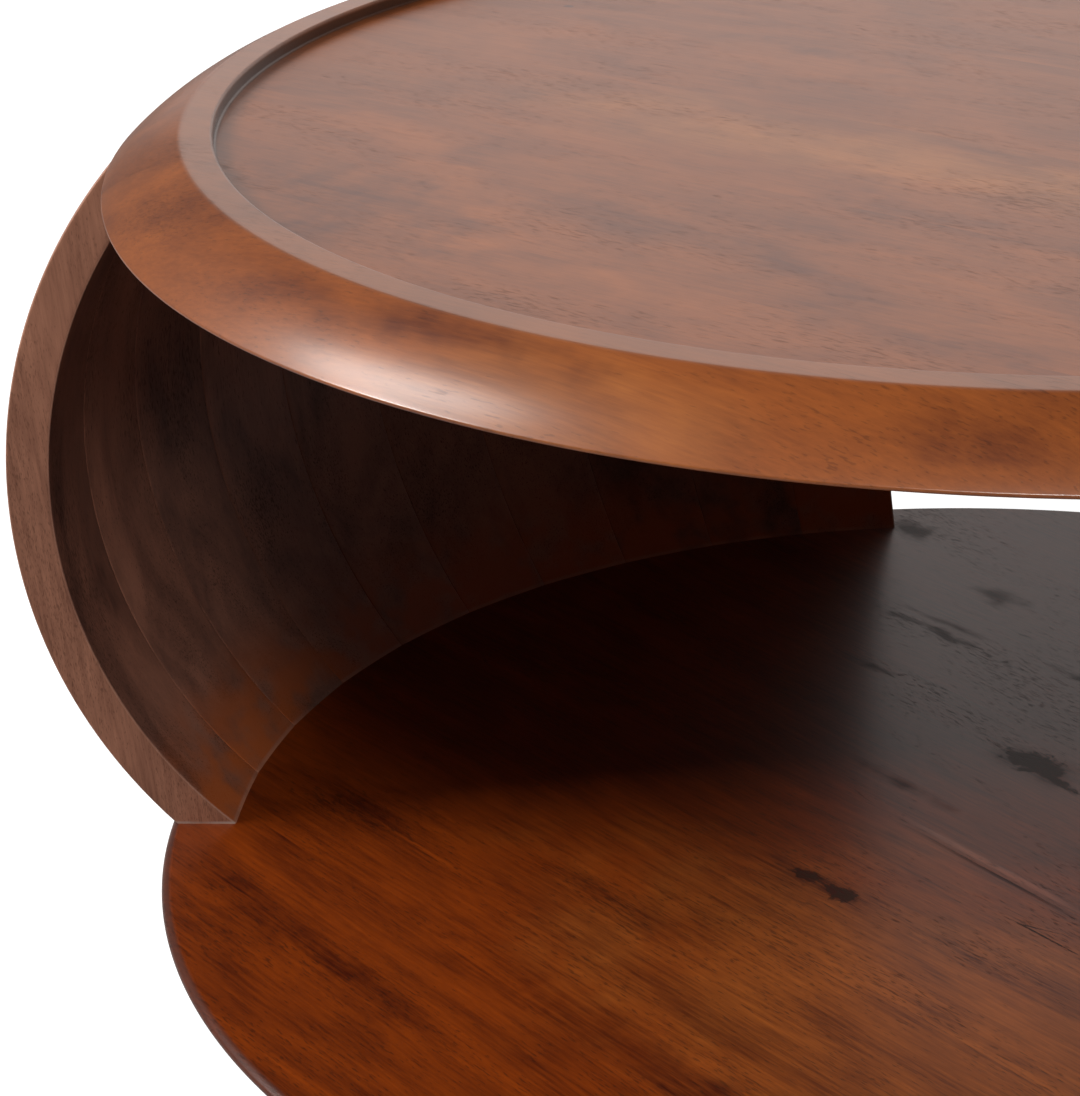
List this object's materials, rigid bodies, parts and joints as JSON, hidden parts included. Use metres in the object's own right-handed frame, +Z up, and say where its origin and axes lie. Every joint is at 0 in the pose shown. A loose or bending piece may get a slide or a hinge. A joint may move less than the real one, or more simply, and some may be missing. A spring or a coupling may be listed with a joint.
{
  "type": "drum coffee table",
  "caption": "Low round wooden table in the shape of a drum: a recessed top and a round base joined by curved stave walls, open through the middle.",
  "frame": {"origin": "on the floor under the middle of the table", "axes": "+X from the middle of the left wall to the middle of the right wall, Y through the two openings, +Z up"},
  "size_m": [1.022, 0.89, 0.421],
  "materials": {
    "top_wood": "brown stained hardwood under satin-gloss lacquer, grain along the boards",
    "base_wood": "orange-brown stained hardwood with knots under satin-gloss lacquer",
    "wall_wood": "dark brown stained hardwood under thin satin lacquer, grain up the staves",
    "joinery_wood": "plain pale hardwood",
    "glide_felt": "dark brown pressed felt, stuck on"
  },
  "bodies": {
    "root": {"top_board_1": "top_wood", "top_board_2": "top_wood", "top_board_3": "top_wood", "top_board_4": "top_wood", "top_board_5": "top_wood", "top_board_6": "top_wood", "top_board_7": "top_wood", "base_board_1": "base_wood", "base_board_2": "base_wood", "base_board_3": "base_wood", "base_board_4": "base_wood", "base_board_5": "base_wood", "base_board_6": "base_wood", "base_board_7": "base_wood", "left_stave_01": "wall_wood", "left_stave_02": "wall_wood", "left_stave_03": "wall_wood", "left_stave_04": "wall_wood", "left_stave_05": "wall_wood", "left_stave_06": "wall_wood", "left_stave_07": "wall_wood", "left_stave_08": "wall_wood", "left_stave_09": "wall_wood", "left_stave_10": "wall_wood", "right_stave_01": "wall_wood", "right_stave_02": "wall_wood", "right_stave_03": "wall_wood", "right_stave_04": "wall_wood", "right_stave_05": "wall_wood", "right_stave_06": "wall_wood", "right_stave_07": "wall_wood", "right_stave_08": "wall_wood", "right_stave_09": "wall_wood", "right_stave_10": "wall_wood", "top_board_tongues": "joinery_wood", "base_board_tongues": "joinery_wood", "head_tenons": "joinery_wood", "foot_tenons": "joinery_wood", "foot_glides": "glide_felt"}
  },
  "joints": []
}
